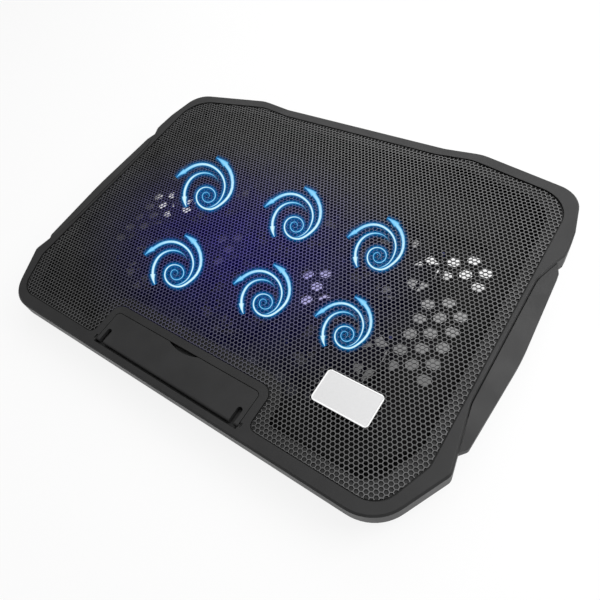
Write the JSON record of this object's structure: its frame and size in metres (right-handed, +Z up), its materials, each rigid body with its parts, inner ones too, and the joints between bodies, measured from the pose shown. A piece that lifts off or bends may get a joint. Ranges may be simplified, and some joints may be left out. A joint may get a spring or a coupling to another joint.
{
  "type": "laptop cooling pad",
  "caption": "Flat cooling pad with a perforated deck over lit fans, a flip-up front stop, side wings, fold-out rear feet, sockets and a speed wheel.",
  "frame": {"origin": "on the floor, below the centre of the pad's outline", "axes": "+X to the user's right, +Y to the rear edge with the sockets, +Z up; the user sits at -Y"},
  "size_m": [0.382, 0.278, 0.026],
  "materials": {
    "frame_plastic": "fine spark texture",
    "mesh_metal": "satin powder coat",
    "badge_metal": "satin silver",
    "stop_plastic": "fine spark texture",
    "wing_plastic": "satin",
    "shell_plastic": "fine spark texture",
    "fan_plastic": "satin",
    "rotor_plastic": "satin",
    "led_lens": "clear blue lens",
    "board": "solder mask",
    "tongue_plastic": "satin",
    "socket_metal": "tinned",
    "pot_plastic": "satin",
    "wheel_plastic": "satin, notched rim",
    "foot_plastic": "satin",
    "foot_rubber": "matt",
    "pad_rubber": "matt"
  },
  "bodies": {
    "pad": {"top_frame": "frame_plastic", "mesh_panel": "mesh_metal", "badge_plate": "badge_metal", "side_wing_left": "wing_plastic", "side_wing_right": "wing_plastic", "bottom_shell": "shell_plastic", "fan_frame_1": "fan_plastic", "fan_frame_2": "fan_plastic", "fan_frame_3": "fan_plastic", "fan_frame_4": "fan_plastic", "fan_frame_5": "fan_plastic", "fan_frame_6": "fan_plastic", "fan_leds": "led_lens", "control_board": "board", "usb_tongues": "tongue_plastic", "usb_socket_power": "socket_metal", "usb_socket_device": "socket_metal", "speed_pot": "pot_plastic", "rest_pads": "pad_rubber"},
    "stop": {"laptop_stop": "stop_plastic"},
    "foot_left": {"rear_foot_left": "foot_plastic", "foot_tip_left": "foot_rubber"},
    "foot_right": {"rear_foot_right": "foot_plastic", "foot_tip_right": "foot_rubber"},
    "rotor_1": {"fan_rotor_1": "rotor_plastic"},
    "rotor_2": {"fan_rotor_2": "rotor_plastic"},
    "rotor_3": {"fan_rotor_3": "rotor_plastic"},
    "rotor_4": {"fan_rotor_4": "rotor_plastic"},
    "rotor_5": {"fan_rotor_5": "rotor_plastic"},
    "rotor_6": {"fan_rotor_6": "rotor_plastic"},
    "wheel": {"speed_wheel": "wheel_plastic"}
  },
  "joints": [
    {"name": "stop_hinge", "type": "hinge", "parent": "pad", "child": "stop", "pos_m": [0, -0.1302, 0.0241], "axis": [1, 0, 0], "range_deg": [0, 95]},
    {"name": "foot_hinge_left", "type": "hinge", "parent": "pad", "child": "foot_left", "pos_m": [-0.1, 0.0995, 0.0048], "axis": [1, 0, 0], "range_deg": [0, 95]},
    {"name": "foot_hinge_right", "type": "hinge", "parent": "pad", "child": "foot_right", "pos_m": [0.1, 0.0995, 0.0048], "axis": [1, 0, 0], "range_deg": [0, 95]},
    {"name": "rotor_spin_1", "type": "hinge", "parent": "pad", "child": "rotor_1", "pos_m": [-0.086, -0.047, 0.007], "axis": [0, 0, 1], "continuous": true},
    {"name": "rotor_spin_2", "type": "hinge", "parent": "pad", "child": "rotor_2", "pos_m": [0, -0.047, 0.007], "axis": [0, 0, 1], "continuous": true},
    {"name": "rotor_spin_3", "type": "hinge", "parent": "pad", "child": "rotor_3", "pos_m": [0.086, -0.047, 0.007], "axis": [0, 0, 1], "continuous": true},
    {"name": "rotor_spin_4", "type": "hinge", "parent": "pad", "child": "rotor_4", "pos_m": [-0.086, 0.029, 0.007], "axis": [0, 0, 1], "continuous": true},
    {"name": "rotor_spin_5", "type": "hinge", "parent": "pad", "child": "rotor_5", "pos_m": [0, 0.029, 0.007], "axis": [0, 0, 1], "continuous": true},
    {"name": "rotor_spin_6", "type": "hinge", "parent": "pad", "child": "rotor_6", "pos_m": [0.086, 0.029, 0.007], "axis": [0, 0, 1], "continuous": true},
    {"name": "speed_turn", "type": "hinge", "parent": "pad", "child": "wheel", "pos_m": [-0.012, 0.12864, 0.0199], "axis": [0, 0, 1], "range_deg": [0, 270]}
  ]
}
